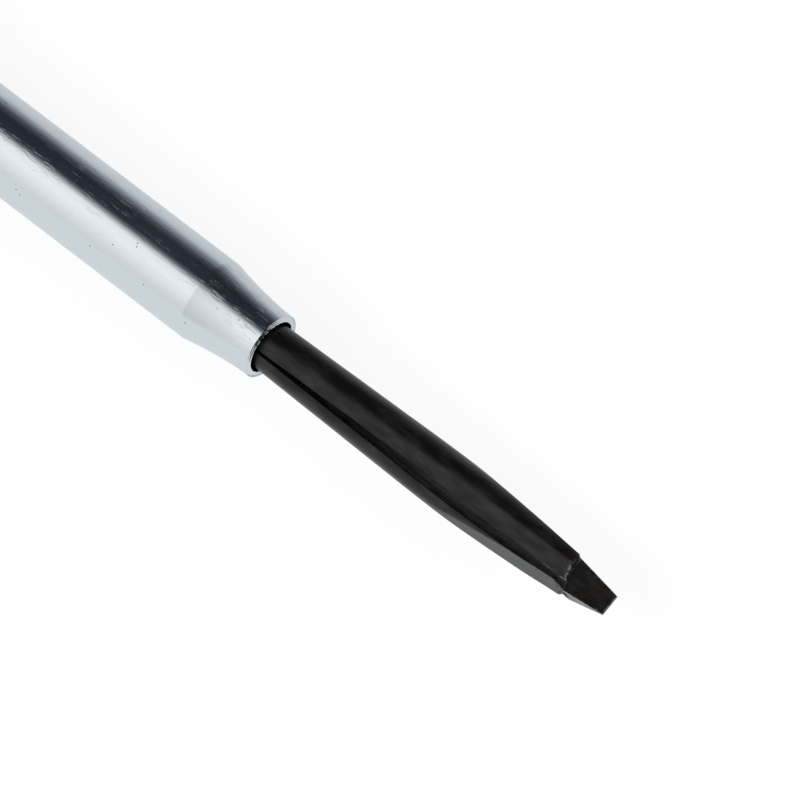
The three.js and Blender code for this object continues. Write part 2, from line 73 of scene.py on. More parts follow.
# Length of one band of a wave texture at a scale of 1
WAVE_BAND = 0.31
# Rounding of CAD copies: vertices closer than this are one, faces flatter than this are one, and
# edges sharper than the corner angle are rounded
WELD = 0.001
FLAT = math.radians(1)
CORNER = math.radians(33)
COPY_SHARP_DEG = 36.0

Ring = list[Vector]
Outline = Sequence[tuple[float, float]]
Stretch = tuple[float, float, float]
Stops = Sequence[tuple[float, object]]
Shades = Sequence[tuple[float, str]]
EVEN: Stretch = (1, 1, 1)


class Body(Enum):
    """CAD bodies that pieces ride on."""

    GRIP = "handle_and_shank"
    CARRIAGE = "sleeve_carriage"
    SLEEVE = "sleeve"
    UPPER = "upper_blade"
    LOWER = "lower_blade"


class Half(Enum):
    """The two bars of the split blade: node, body and half turns about the axis."""

    LOWER = ("lower_blade_half", Body.LOWER, 0)
    UPPER = ("upper_blade_half", Body.UPPER, 1)

    @property
    def node(self) -> str:
        """CAD node of this bar."""
        return self.value[0]

    @property
    def body(self) -> Body:
        """CAD body of this bar."""
        return self.value[1]

    @property
    def turn(self) -> Matrix:
        """Turn about the axis that brings the lower bar to this one."""
        return Matrix.Rotation(math.pi * self.value[2], 3, "X")


# Shared helpers


def linear(code: str) -> tuple[float, float, float, float]:
    """Turns an sRGB hex colour into linear RGBA.

    Args:
        code: Colour such as "#c8ccd0".

    Returns:
        Linear red, green, blue and an alpha of 1.
    """
    channels = [int(code[i : i + 2], 16) / 255 for i in (1, 3, 5)]
    red, green, blue = (c / 12.92 if c <= 0.04045 else ((c + 0.055) / 1.055) ** 2.4 for c in channels)
    return red, green, blue, 1.0


def smoothstep(low: float, high: float, x: float) -> float:
    """Eased share of the way of x from low to high, from 0 to 1."""
    s = min(1.0, max(0.0, (x - low) / (high - low)))
    return s * s * (3 - 2 * s)


def lerp(start: float, end: float, share: float) -> float:
    """Value at that share of the way from start to end."""
    return start + (end - start) * share


def spread(start: float, end: float, count: int) -> list[float]:
    """Places from start to end in count equal steps."""
    return [lerp(start, end, i / count) for i in range(count + 1)]


def rounded_ring(
    corners: Outline, radius: float, per_side: int, per_corner: int, shrink: float = 0.0
) -> list[tuple[float, float]]:
    """Samples a convex polygon with rounded corners, always with the same count of points.

    Args:
        corners: Corners in order.
        radius: Radius of the corners.
        per_side: Points on each side.
        per_corner: Points on each corner besides the ends of its sides.
        shrink: How far the ring is drawn in towards its middle.

    Returns:
        Points of the ring.
    """
    points = [Vector(c) for c in corners]
    middle = sum(points, Vector((0, 0))) / len(points)
    points = [p + (middle - p).normalized() * min(shrink, (middle - p).length / 2) for p in points]
    ring: list[Vector] = []
    for i, corner in enumerate(points):
        before, after = points[i - 1], points[(i + 1) % len(points)]
        cut = min(radius, (before - corner).length / 3, (after - corner).length / 3)
        start = corner + (before - corner).normalized() * cut
        end = corner + (after - corner).normalized() * cut
        for k in range(per_corner + 1):
            s = k / per_corner
            ring.append(start * (1 - s) ** 2 + corner * (2 * s * (1 - s)) + end * s**2)
        next_cut = min(radius, (after - corner).length / 3)
        stop = after + (corner - after).normalized() * next_cut
        ring.extend(end.lerp(stop, k / per_side) for k in range(1, per_side))
    return [(p.x, p.y) for p in ring]


class Skin:
    """A mesh under construction, in millimetres."""

    def __init__(self) -> None:
        """Starts an empty mesh."""
        self.bm = bmesh.new()

    def loft(self, rings: Sequence[Ring], looped: bool = False) -> None:
        """Adds a skin through rings of equal count.

        Args:
            rings: Closed rings of points, each in the same sense.
            looped: Joins the last ring to the first; otherwise both ends are capped.
        """
        rows = [[self.bm.verts.new(point) for point in ring] for ring in rings]
        count = len(rows[0])
        pairs = list(zip(rows, rows[1:] + rows[:1])) if looped else list(zip(rows, rows[1:]))
        for lower, upper in pairs:
            for k in range(count):
                n = (k + 1) % count
                self.bm.faces.new((lower[k], lower[n], upper[n], upper[k]))
        if not looped:
            self._cap(rows[0])
            self._cap(rows[-1])

    def _cap(self, row: list[bmesh.types.BMVert]) -> None:
        """Closes an end ring with a fan about its middle.

        Args:
            row: Vertices of the ring.
        """
        middle = self.bm.verts.new(sum((v.co for v in row), Vector()) / len(row))
        for k, vert in enumerate(row):
            self.bm.faces.new((middle, vert, row[(k + 1) % len(row)]))

    def lathe(self, outline: Outline, steps: int, looped: bool = False) -> None:
        """Turns an outline of (place along X, radius) points about the axis.

        Args:
            outline: Points of the outline.
            steps: Facets round the axis.
            looped: The outline is a loop clear of the axis.
        """
        angles = [2 * math.pi * i / steps for i in range(steps)]
        rings = [[Vector((x, r * math.cos(a), r * math.sin(a))) for a in angles] for x, r in outline]
        self.loft(rings, looped)

    def object(self, name: str, sharp_deg: float = 32.0, turn: Matrix | None = None) -> bpy.types.Object:
        """Ends the mesh and puts it in the scene.

        Args:
            name: Name of the object.
            sharp_deg: Edges that bend more than this stay sharp.
            turn: Turn about the origin, before the change to metres.

        Returns:
            The new object.
        """
        bmesh.ops.recalc_face_normals(self.bm, faces=self.bm.faces)
        mesh = bpy.data.meshes.new(name)
        self.bm.to_mesh(mesh)
        self.bm.free()
        if turn is not None:
            mesh.transform(turn.to_4x4())
        mesh.transform(Matrix.Scale(MM, 4))
        mesh.shade_smooth()
        mesh.set_sharp_from_angle(angle=math.radians(sharp_deg))
        made = bpy.data.objects.new(name, mesh)
        bpy.context.scene.collection.objects.link(made)
        return made


def in_order(elements: bmesh.types.BMVertSeq | bmesh.types.BMFaceSeq, place: Callable[..., Vector]) -> None:
    """Sorts a mesh's elements by their places.

    Args:
        elements: Corners or faces of the mesh.
        place: Gives an element's place.
    """
    ordered = sorted(elements, key=lambda element: tuple(round(c, 4) for c in place(element)))
    ranks = {element: rank for rank, element in enumerate(ordered)}
    elements.sort(key=ranks.get)
    elements.index_update()


def rounded_copy(node: str, edge: float, name: str) -> bpy.types.Object:
    """Copies a CAD mesh with its edges rounded and its curved faces smooth.

    Args:
        node: CAD node that the copy stands for.
        edge: Width of the rounding.
        name: Name of the copy.

    Returns:
        The new object.
    """
    skin = Skin()
    skin.bm.from_mesh(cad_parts[node].data)
    bm = skin.bm
    bmesh.ops.scale(bm, vec=Vector((1, 1, 1)) / MM, verts=bm.verts)
    bmesh.ops.remove_doubles(bm, verts=bm.verts, dist=WELD)
    bmesh.ops.dissolve_limit(bm, angle_limit=FLAT, verts=bm.verts, edges=bm.edges)
    corners = [e for e in bm.edges if e.is_manifold and e.calc_face_angle(0.0) > CORNER]
    bmesh.ops.bevel(
        bm, geom=corners, offset=edge, segments=2, profile=0.5, affect="EDGES", clamp_overlap=True
    )
    bmesh.ops.triangulate(bm, faces=[f for f in bm.faces if len(f.verts) > 4])
    # The tools above leave corners and faces in an order that changes from run to run
    in_order(bm.verts, lambda vert: vert.co)
    in_order(bm.faces, lambda face: face.calc_center_median())
    return skin.object(name, COPY_SHARP_DEG)


class Graph:
    """A material's or world's node tree."""

    def __init__(self, tree: bpy.types.NodeTree) -> None:
        """Takes over a tree and empties it."""
        self.tree = tree
        tree.nodes.clear()

    def add(
        self, kind: str, inputs: dict[str | int, object] | None = None, stops: Stops = (), **settings: object
    ) -> bpy.types.Node:
        """Adds a node with its settings and links.

        Args:
            kind: Node type without its "ShaderNode" prefix.
            inputs: Values, output sockets, or nodes whose first output is meant, by input name or number.
            stops: Places from 0 to 1 on a colour ramp, each with a grey level or an RGBA colour.
            settings: Properties of the node.

        Returns:
            The new node.
        """
        node = self.tree.nodes.new("ShaderNode" + kind)
        for key, value in settings.items():
            setattr(node, key, value)
        for key, value in (inputs or {}).items():
            if isinstance(value, bpy.types.Node):
                value = value.outputs[0]
            if isinstance(value, bpy.types.NodeSocket):
                self.tree.links.new(value, node.inputs[key])
            else:
                node.inputs[key].default_value = value
        if stops:
            elements = node.color_ramp.elements
            while len(elements) < len(stops):
                elements.new(0.5)
            for element, (place, value) in zip(elements, stops):
                element.position = place
                element.color = value if isinstance(value, tuple) else (value, value, value, 1)
        return node


# Finishes


@dataclass(frozen=True)
class Finish:
    """A material and the way its surface was made; sizes of its patterns are in millimetres."""

    name: str
    slot: str

    def material(self) -> bpy.types.Material:
        """Makes the Blender material.

        Returns:
            The new material, with its surface linked to the output.
        """
        made = bpy.data.materials.new(self.name)
        made.use_nodes = True
        graph = Graph(made.node_tree)
        graph.add("OutputMaterial", {"Surface": self.surface(graph)})
        return made

    def surface(self, graph: Graph) -> bpy.types.Node:
        """Adds the nodes and returns the shader; each finish has its own."""
        raise NotImplementedError

    def place(self, graph: Graph, stretch: Stretch = EVEN) -> bpy.types.Node:
        """Adds the place on the piece in metres, scaled along each axis.

        Args:
            graph: Tree to add to.
            stretch: Scale along X, Y and Z; under 1 draws patterns out along that axis.

        Returns:
            Node that gives the scaled place.
        """
        coordinates = graph.add("TexCoord")
        return graph.add("Mapping", {"Vector": coordinates.outputs["Object"], "Scale": stretch})

    def grain(
        self, graph: Graph, size: float, detail: float = 2, stretch: Stretch = EVEN
    ) -> bpy.types.NodeSocket:
        """Adds an uneven pattern of soft spots.

        Args:
            graph: Tree to add to.
            size: Size of the largest spots.
            detail: Octaves of finer spots.
            stretch: Scale along X, Y and Z.

        Returns:
            Grey level from 0 to 1.
        """
        place = self.place(graph, stretch)
        node = graph.add("TexNoise", {"Vector": place, "Scale": 1 / (size * MM), "Detail": detail})
        return node.outputs["Fac"]

    def spots(self, graph: Graph, spacing: float, reach: tuple[float, float]) -> bpy.types.Node:
        """Adds scattered round spots.

        Args:
            graph: Tree to add to.
            spacing: Mean distance between spots.
            reach: Where a spot starts to fade and where it ends, in shares of the spacing.

        Returns:
            Node that gives 1 on the spots and 0 between them.
        """
        cells = graph.add("TexVoronoi", {"Vector": self.place(graph), "Scale": 1 / (spacing * MM)})
        solid, end = reach
        return graph.add("ValToRGB", {"Fac": cells.outputs["Distance"]}, [(solid, 1.0), (end, 0.0)])


@dataclass(frozen=True)
class BrightZinc(Finish):
    """Zinc plate on drawn steel tube: a bright mirror with a cold tint, faint draw lines and specks."""

    name: str = "Zinc plated steel, bright drawn"
    slot: str = "bright_zinc"
    colour: str = "#e6edf1"
    speck: str = "#5f636a"
    speck_spacing: float = 1.5
    draw_line: float = 0.2
    draw_depth: float = 0.008
    cloud: float = 5.0
    scratch: float = 0.26
    scratch_depth: float = 0.012
    scratch_roughness: float = 0.34
    worn_patch: float = 1.6

    def surface(self, graph: Graph) -> bpy.types.Node:
        """Adds draw lines, dull clouds, scratches and specks, drawn coarser than real so they show.

        Args:
            graph: Tree to add to.

        Returns:
            Shader of the surface.
        """
        lines = self.grain(graph, self.draw_line, 4, (0.07, 1, 1))
        cloud = self.grain(graph, self.cloud, 4, (0.5, 1, 1))
        specks = self.spots(graph, self.speck_spacing, (0.03, 0.07))
        strokes = self.grain(graph, self.scratch, 3, (0.16, 1, 1))
        scratches = graph.add("ValToRGB", {"Fac": strokes}, [(0.53, 0.0), (0.64, 1.0)])
        patches = self.grain(graph, self.worn_patch, 5, (0.3, 1, 1))
        worn = graph.add("ValToRGB", {"Fac": patches}, [(0.4, 0.15), (0.6, 1.0)])
        marks = graph.add("Math", {0: scratches, 1: worn}, operation="MULTIPLY")
        colour = graph.add(
            "MixRGB", {"Fac": specks, "Color1": linear(self.colour), "Color2": linear(self.speck)}
        )
        even = graph.add("ValToRGB", {"Fac": cloud}, [(0.3, 0.07), (0.6, 0.11), (0.75, 0.17)])
        dull = graph.add("Math", {0: marks, 1: self.scratch_roughness}, operation="MULTIPLY")
        rough = graph.add("Math", {0: even, 1: dull}, operation="MAXIMUM")
        drawn = graph.add("Bump", {"Height": lines, "Strength": 0.5, "Distance": self.draw_depth * MM})
        dented = graph.add(
            "Bump",
            {"Height": marks, "Strength": 0.6, "Distance": -self.scratch_depth * MM, "Normal": drawn},
        )
        return graph.add(
            "BsdfPrincipled",
            {"Base Color": colour, "Metallic": 1.0, "Roughness": rough, "Normal": dented},
        )


@dataclass(frozen=True)
class BlackOxide(Finish):
    """Black oxide on ground, oiled steel: satin near-black, streaked by handling, bare near the tip."""

    name: str = "Black oxide steel, ground and oiled"
    slot: str = "black_oxide"
    colour: str = "#0c0c0c"
    haze: str = "#18171a"
    tint: str = "#1e1410"
    sheen: str = "#fff9f5"
    steel: str = "#8f8b86"
    ior: float = 1.42
    steel_roughness: float = 0.4
    streak: float = 0.8
    scratch: float = 0.09
    scratch_depth: float = 0.0025
    nick_spacing: float = 2.6
    heat_patch: float = 1.6
    chip: float = 0.4
    worn_from: float = 218.0
    worn_to: float = 223.5

    def surface(self, graph: Graph) -> bpy.types.Node:
        """Adds streaks and scratches along the bar, brown heat tints, and steel on edges and in nicks.

        Args:
            graph: Tree to add to.

        Returns:
            Shader of the surface.
        """
        streaks = self.grain(graph, self.streak, 6, (0.28, 1, 1))
        scratches = self.grain(graph, self.scratch, 4, (0.06, 1, 1))
        handled = graph.add("ValToRGB", {"Fac": streaks}, [(0.45, 0.0), (0.7, 1.0)])
        hazed = graph.add(
            "MixRGB", {"Fac": handled, "Color1": linear(self.colour), "Color2": linear(self.haze)}
        )
        along = graph.add("SeparateXYZ", {0: self.place(graph)}).outputs["X"]
        near_tip = graph.add(
            "MapRange", {"Value": along, "From Min": self.worn_from * MM, "From Max": self.worn_to * MM}
        )
        patches = self.grain(graph, self.heat_patch, 3)
        heat = graph.add("ValToRGB", {"Fac": patches}, [(0.5, 0.0), (0.7, 1.0)])
        heated = graph.add("Math", {0: heat, 1: near_tip}, operation="MULTIPLY")
        tinted = graph.add("MixRGB", {"Fac": heated, "Color1": hazed, "Color2": linear(self.tint)})
        pointed = graph.add("NewGeometry").outputs["Pointiness"]
        edge = graph.add("ValToRGB", {"Fac": pointed}, [(0.504, 0.0), (0.53, 1.0)])
        chips = self.grain(graph, self.chip, 5)
        broken = graph.add("ValToRGB", {"Fac": chips}, [(0.42, 0.0), (0.56, 1.0)])
        rubbed = graph.add("Math", {0: edge, 1: broken}, operation="MULTIPLY")
        worn = graph.add("Math", {0: rubbed, 1: near_tip}, operation="MULTIPLY")
        nicks = self.spots(graph, self.nick_spacing, (0.02, 0.055))
        bare = graph.add("Math", {0: worn, 1: nicks}, operation="MAXIMUM")
        rough = graph.add("ValToRGB", {"Fac": streaks}, [(0.35, 0.2), (0.65, 0.34)])
        oil = graph.add("ValToRGB", {"Fac": streaks}, [(0.36, 0.34), (0.64, 0.56)])
        ground = graph.add(
            "Bump", {"Height": scratches, "Strength": 0.4, "Distance": self.scratch_depth * MM}
        )
        oxide = graph.add(
            "BsdfPrincipled",
            {
                "Base Color": tinted,
                "IOR": self.ior,
                "Specular IOR Level": oil,
                "Specular Tint": linear(self.sheen),
                "Roughness": rough,
                "Normal": ground,
            },
        )
        steel = graph.add(
            "BsdfPrincipled",
            {
                "Base Color": linear(self.steel),
                "Metallic": 1.0,
                "Roughness": self.steel_roughness,
                "Normal": ground,
            },
        )
        return graph.add("MixShader", {0: bare, 1: oxide, 2: steel})


@dataclass(frozen=True)
class TurnedMetal(Finish):
    """Bare metal off the lathe: fine rings round the axis and a soft metallic shine."""

    name: str = "Carbon steel, turned"
    slot: str = "plain_steel"
    colour: str = "#b4b3b0"
    pitch: float = 0.18
    depth: float = 0.006
    stain: float = 2.5
    roughness: float = 0.3

    def surface(self, graph: Graph) -> bpy.types.Node:
        """Adds the rings that the tool's feed leaves, drawn a little coarser than real so they show.

        Args:
            graph: Tree to add to.

        Returns:
            Shader of the surface.
        """
        rings = graph.add(
            "TexWave",
            {"Vector": self.place(graph), "Scale": WAVE_BAND / (self.pitch * MM), "Distortion": 1.5},
            bands_direction="X",
        )
        stain = self.grain(graph, self.stain, 4)
        rough = graph.add(
            "ValToRGB", {"Fac": stain}, [(0.3, self.roughness - 0.06), (0.7, self.roughness + 0.1)]
        )
        turned = graph.add(
            "Bump", {"Height": rings.outputs["Fac"], "Strength": 0.4, "Distance": self.depth * MM}
        )
        return graph.add(
            "BsdfPrincipled",
            {"Base Color": linear(self.colour), "Metallic": 1.0, "Roughness": rough, "Normal": turned},
        )


@dataclass(frozen=True)
class MouldedPlastic(Finish):
    """Moulded plastic or rubber: one dull colour with the fine texture of its mould."""

    name: str = "Polypropylene, moulded"
    slot: str = "cap_plastic"
    colour: str = "#1d1d1f"
    texture: float = 0.35
    depth: float = 0.02
    wear: float = 6.0
    roughness: float = 0.46
    ior: float = 1.49

    def surface(self, graph: Graph) -> bpy.types.Node:
        """Adds the mould's spark-eroded texture, which breaks up the shine.

        Args:
            graph: Tree to add to.

        Returns:
            Shader of the surface.
        """
        spots = self.grain(graph, self.texture, 3)
        wear = self.grain(graph, self.wear, 4)
        rough = graph.add(
            "ValToRGB", {"Fac": wear}, [(0.3, self.roughness - 0.06), (0.7, self.roughness + 0.08)]
        )
        eroded = graph.add("Bump", {"Height": spots, "Strength": 0.5, "Distance": self.depth * MM})
        return graph.add(
            "BsdfPrincipled",
            {"Base Color": linear(self.colour), "IOR": self.ior, "Roughness": rough, "Normal": eroded},
        )


@dataclass(frozen=True)
class PolishedAcetate(Finish):
    """Cellulose acetate handle stock, turned and vapour-polished: deep colour under a clear wet gloss."""

    name: str = "Cellulose acetate, polished"
    slot: str = "handle_acetate"
    colour: str = "#8e1b17"
    deep: str = "#6f100f"
    ior: float = 1.48
    flow: float = 9.0
    scratch: float = 0.3
    scratch_depth: float = 0.012
    gloss_patch: float = 7.0
    scatter: float = 0.12
    scatter_depths: tuple[float, float, float] = (4.0, 1.0, 1.0)
    coat: float = 0.3
    coat_roughness: float = 0.08

    def surface(self, graph: Graph) -> bpy.types.Node:
        """Adds flow lines of the extruded stock along the handle and fine scratches in the gloss.

        Args:
            graph: Tree to add to.

        Returns:
            Shader of the surface.
        """
        flow = self.grain(graph, self.flow, 4, (0.12, 1, 1))
        lines = graph.add("ValToRGB", {"Fac": flow}, [(0.35, 0.0), (0.65, 1.0)])
        colour = graph.add(
            "MixRGB", {"Fac": lines, "Color1": linear(self.colour), "Color2": linear(self.deep)}
        )
        scratches = self.grain(graph, self.scratch, 3, (0.25, 1, 1))
        used = graph.add(
            "Bump", {"Height": scratches, "Strength": 0.12, "Distance": self.scratch_depth * MM}
        )
        gloss = self.grain(graph, self.gloss_patch, 4)
        rough = graph.add("ValToRGB", {"Fac": gloss}, [(0.35, 0.14), (0.7, 0.27)])
        return graph.add(
            "BsdfPrincipled",
            {
                "Base Color": colour,
                "IOR": self.ior,
                "Roughness": rough,
                "Subsurface Weight": self.scatter,
                "Subsurface Radius": [depth * MM for depth in self.scatter_depths],
                "Subsurface Scale": 1.0,
                "Coat Weight": self.coat,
                "Coat Roughness": self.coat_roughness,
                "Normal": used,
            },
        )


ZINC = BrightZinc()
OXIDE = BlackOxide()
STEEL = TurnedMetal()
BRASS = TurnedMetal(
    name="Brass, turned", slot="bush_brass", colour="#d0aa63", pitch=0.15, roughness=0.26
)
RUBBER = MouldedPlastic(
    name="Nitrile rubber, moulded",
    slot="black_rubber",
    colour="#171718",
    texture=0.25,
    depth=0.015,
    roughness=0.72,
    ior=1.52,
)
CAP_PLASTIC = MouldedPlastic()
ACETATE = PolishedAcetate()


class Wardrobe:
    """Gives pieces their finish, and makes each material once."""

    def __init__(self) -> None:
        """Starts with no material made."""
        self.made: dict[Finish, bpy.types.Material] = {}

    def dress(self, piece: bpy.types.Object, finish: Finish, body: Body, *nodes: str) -> None:
        """Finishes a piece, lets it stand for CAD nodes and puts it on its body.

        Args:
            piece: Object to finish.
            finish: Its material and surface.
            body: CAD body that it moves with.
            nodes: CAD nodes that it stands for.
        """
        if finish not in self.made:
            self.made[finish] = finish.material()
        piece.data.materials.clear()
        piece.data.materials.append(self.made[finish])
        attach(piece, body.value)
        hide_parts(*nodes)
        LOG.info("%s: %d faces, %s, on %s", piece.name, len(piece.data.polygons), finish.name, body.value)


# Sub-assemblies


@dataclass
class SplitBlade:
    """Two half-round bars, splayed at the belly, whose tongues lie on each other at the tip."""

    bar_radius: float = 2.55
    bar_rear: float = 172.7
    mouth: float = MOUTH
    belly: float = 204.95
    shoulder: float = 222.05
    tip: float = 226.899
    # Gap between the bars at the root, the mouth, the belly and the shoulder
    gaps: tuple[float, float, float, float] = (0.2, 0.3, 1.4, 0.93)
    belly_blend: float = 4.0
    shoulder_half_width: float = 1.66
    facet_lean: float = math.radians(20)
    facet_depth: float = 0.19
    # How far each bar's front leans forward per millimetre across
    slants: dict[Half, float] = field(default_factory=lambda: {Half.LOWER: 0.7, Half.UPPER: 0.25})
    tip_lean: float = math.radians(12)
    # Half width and half thickness of the tip at the shoulder, then at the end
    tongue_base: tuple[float, float] = (1.88, 2.2)
    tongue_end: tuple[float, float] = (1.2, 0.2)
    tongue_setback: float = 0.1
    tongue_slant: float = 0.25
    tongue_gap: float = 0.03
    tongue_skew: float = 0.45
    pivot: float = 169.95
    eye_radius: float = 2.05
    eye_bore: float = 0.9
    # Span of the eye along the pivot pin
    eye_pins: tuple[float, float] = (0.05, 1.75)
    # Neck that carries the eye: its span along the axis and along the splay
    neck_span: tuple[float, float] = (171.2, 173.1)
    neck_depths: tuple[float, float] = (-1.8, -0.2)
    neck_edge: float = 0.1
    neck_points: tuple[int, int] = (4, 3)
    # Ramp from the inner face to the tongue: size, inset and height of its rear, and rear outline
    root_length: float = 2.2
    root_width: float = 0.9
    root_rise: float = 0.15
    root_seat: tuple[float, float] = (0.25, 0.35)
    root_section: Outline = ((0, -0.9), (0.5, -0.9), (0.12, 0.0), (0.0, 0.02))
    # The ramp takes up the tongue's points beyond this side
    root_side: float = -1.0
    # Rings along the ramp and points on each of its sides
    root_steps: tuple[int, int] = (40, 12)
    front_blend: float = 6.0
    # Step forward and scale of each ring that rounds a bar's front
    front_rounding: Outline = ((0.05, 0.975), (0.08, 0.94))
    tongue_edge: float = 0.035
    # Points on each side and each corner of a tongue's ring
    tongue_points: tuple[int, int] = (14, 4)
    tongue_steps: int = 70
    tip_edge: float = 0.03
    tip_edge_from: float = 0.985
    # Share of the radius, below the inner face, where a section's rays start
    section_centre: float = 0.42
    # The higher, the crisper a section's corners
    edge_power: float = 48.0
    section_steps: int = 300
    bar_steps: int = 190
    eye_steps: int = 48
    sharp_deg: float = 40.0

    # Directions that the bars spread along and that the pivot pin runs along
    splay = Vector((0, math.sqrt(0.5), math.sqrt(0.5)))
    pin = Vector((0, -math.sqrt(0.5), math.sqrt(0.5)))

    def build(self, wardrobe: Wardrobe) -> None:
        """Builds and finishes both bars.

        Args:
            wardrobe: Finishes that the pieces are given.
        """
        for half in Half:
            skin = Skin()
            self._bar(skin, self.slants[half])
            self._tongue(skin)
            self._eye(skin)
            piece = skin.object(half.node + "_ground", self.sharp_deg, half.turn)
            wardrobe.dress(piece, OXIDE, half.body, half.node)

    def gap(self, x: float) -> float:
        """Works out the gap between the bars, which is widest at the rounded belly.

        Args:
            x: Place along the axis.

        Returns:
            Gap between the inner faces.
        """
        root, mouth, belly, shoulder = self.gaps
        if x < self.mouth:
            return lerp(root, mouth, (x - self.bar_rear) / (self.mouth - self.bar_rear))
        opening = (belly - mouth) / (self.belly - self.mouth)
        closing = (belly - shoulder) / (self.shoulder - self.belly)
        past = x - self.belly
        blend = max(0.0, self.belly_blend - abs(past)) ** 2 / (4 * self.belly_blend)
        return belly + (opening if past < 0 else -closing) * past - (opening + closing) * blend

    def _reach(self, normal: Vector, gap: float) -> float:
        """How far both round bars reach along a direction."""
        return self.bar_radius + gap / 2 * abs(self.splay.dot(normal))

    def _flats(self, x: float) -> list[tuple[Vector, float]]:
        """Works out the ground flats, which run in from the belly to the shoulder.

        Args:
            x: Place along the axis.

        Returns:
            Normal of each flat and its distance from the axis.
        """
        share = (x - self.belly) / (self.shoulder - self.belly)
        side = Vector((0, 1, 0))
        facet = Vector((0, -math.sin(self.facet_lean), math.cos(self.facet_lean)))
        widths = (self._reach(side, self.gaps[2]), self.shoulder_half_width)
        depths = (self._reach(facet, self.gaps[2]), self._reach(facet, self.gaps[3]) - self.facet_depth)
        across, deep = lerp(*widths, share), lerp(*depths, share)
        return [(side, across), (-side, across), (facet, deep), (-facet, deep)]

    def _section(self, x: float) -> Ring:
        """Works out a section of the lower bar: a half round cut by the flats, with worn corners.

        Args:
            x: Place along the axis.

        Returns:
            Ring of the section.
        """
        middle = self.splay * (-self.gap(x) / 2)
        start = middle - self.splay * (self.section_centre * self.bar_radius)
        planes = [*self._flats(x), (self.splay, middle.dot(self.splay))]
        ring = []
        for i in range(self.section_steps):
            angle = 2 * math.pi * i / self.section_steps
            ray = Vector((0, math.cos(angle), math.sin(angle)))
            off = start - middle
            along = off.dot(ray)
            reach = -along + math.sqrt(along**2 - off.length_squared + self.bar_radius**2)
            total = reach**-self.edge_power
            for normal, distance in planes:
                facing = normal.dot(ray)
                if facing > 1e-6:
                    total += ((distance - normal.dot(start)) / facing) ** -self.edge_power
            point = start + ray * total ** (-1 / self.edge_power)
            ring.append(Vector((x, point.y, point.z)))
        return ring

    def _bar(self, skin: Skin, slant: float) -> None:
        """Adds the lower bar, from its root in the sleeve to its slanted front.

        Args:
            skin: Mesh to add to.
            slant: How far the front leans forward towards +Y.
        """
        rings = []
        for x in spread(self.bar_rear, self.shoulder, self.bar_steps):
            lean = slant * smoothstep(self.shoulder - self.front_blend, self.shoulder, x)
            rings.append([Vector((p.x + lean * p.y, p.y, p.z)) for p in self._section(x)])
        front = rings[-1]
        centre = sum(front, Vector()) / len(front)
        for step, scale in self.front_rounding:
            rings.append([centre + (p - centre) * scale + Vector((step, 0, 0)) for p in front])
        skin.loft([[Vector((min(p.x, self.tip), p.y, p.z)) for p in ring] for ring in rings])

    def _tongue(self, skin: Skin) -> None:
        """Adds the lower bar's tongue, the upper part of the wedge-shaped tip.

        Args:
            skin: Mesh to add to.
        """
        rings = []
        start = self.shoulder + self.tongue_setback
        lean = Matrix.Rotation(self.tip_lean, 3, "X")
        for s in [*spread(0.0, self.tip_edge_from, self.tongue_steps), 1.0]:
            w, t = self._tongue_half(s)
            inset = self.tip_edge if s == 1.0 else 0.0
            slope = self.tongue_skew * t / w
            low = [(-w, self.tongue_gap - slope * w), (w, self.tongue_gap + slope * w)]
            ring = []
            corners = [*low, (w, t), (-w, t)]
            for y, z in rounded_ring(corners, self.tongue_edge, *self.tongue_points, inset):
                x = lerp(start, self.tip, s) - self.tongue_slant * (1 - s) * y
                own_w, own_t = self._tongue_half((x - start) / (self.tip - start))
                ring.append(lean @ Vector((min(x, self.tip), y * own_w / w, z * own_t / t)))
            rings.append(ring)
        skin.loft(rings)
        self._root(skin, rings[1])

    def _tongue_half(self, share: float) -> tuple[float, float]:
        """Works out how wide and thick the tip is.

        Args:
            share: Share of the tip's length, from the shoulder.

        Returns:
            Half the width and half the thickness.
        """
        s = min(1.0, max(0.0, share))
        width, thickness = (lerp(base, end, s) for base, end in zip(self.tongue_base, self.tongue_end))
        return width, thickness

    def _root(self, skin: Skin, base: Ring) -> None:
        """Adds the ramp that joins the near side of a tongue to the bar's inner face.

        Args:
            skin: Mesh to add to.
            base: Ring of the tongue that the ramp ends in.
        """
        inset, height = self.root_seat
        seat = Vector((self.shoulder - self.root_length, inset - self.shoulder_half_width, height))
        left = [p for p in base if p.y < self.root_side]
        heel = min(left, key=lambda p: p.z)
        crest = max(left, key=lambda p: p.z - p.y)
        inner = crest + Vector((0, self.root_width, self.root_rise))
        foot = heel + Vector((0, self.root_width, 0))
        rear = [seat + Vector((0, y, z)) for y, z in self.root_section]
        front = [heel, foot, inner, crest]
        rings = []
        steps, points = self.root_steps
        for s in spread(0, 1, steps):
            corners = [a.lerp(b, s) for a, b in zip(rear, front)]
            sides = zip(corners, corners[1:] + corners[:1])
            rings.append([a.lerp(b, k / points) for a, b in sides for k in range(points)])
        skin.loft(rings)

    def _eye(self, skin: Skin) -> None:
        """Adds the eye round the pivot pin and the neck that carries it, both inside the sleeve.

        Args:
            skin: Mesh to add to.
        """
        turns = [2 * math.pi * i / self.eye_steps for i in range(self.eye_steps)]
        ways = [Vector((math.cos(a), 0, 0)) + self.splay * math.sin(a) for a in turns]
        pivot = Vector((self.pivot, 0, 0))
        near, far = self.eye_pins
        rings = []
        bore, rim = self.eye_bore, self.eye_radius
        for radius, depth in ((bore, near), (rim, near), (rim, far), (bore, far)):
            centre = pivot + self.pin * depth
            rings.append([centre + way * radius for way in ways])
        skin.loft(rings, looped=True)
        deep, shallow = self.neck_depths
        corners = [(deep, near), (shallow, near), (shallow, far), (deep, far)]
        ring = rounded_ring(corners, self.neck_edge, *self.neck_points)
        places = spread(*self.neck_span, 4)
        skin.loft([[Vector((x, 0, 0)) + self.splay * a + self.pin * b for a, b in ring] for x in places])


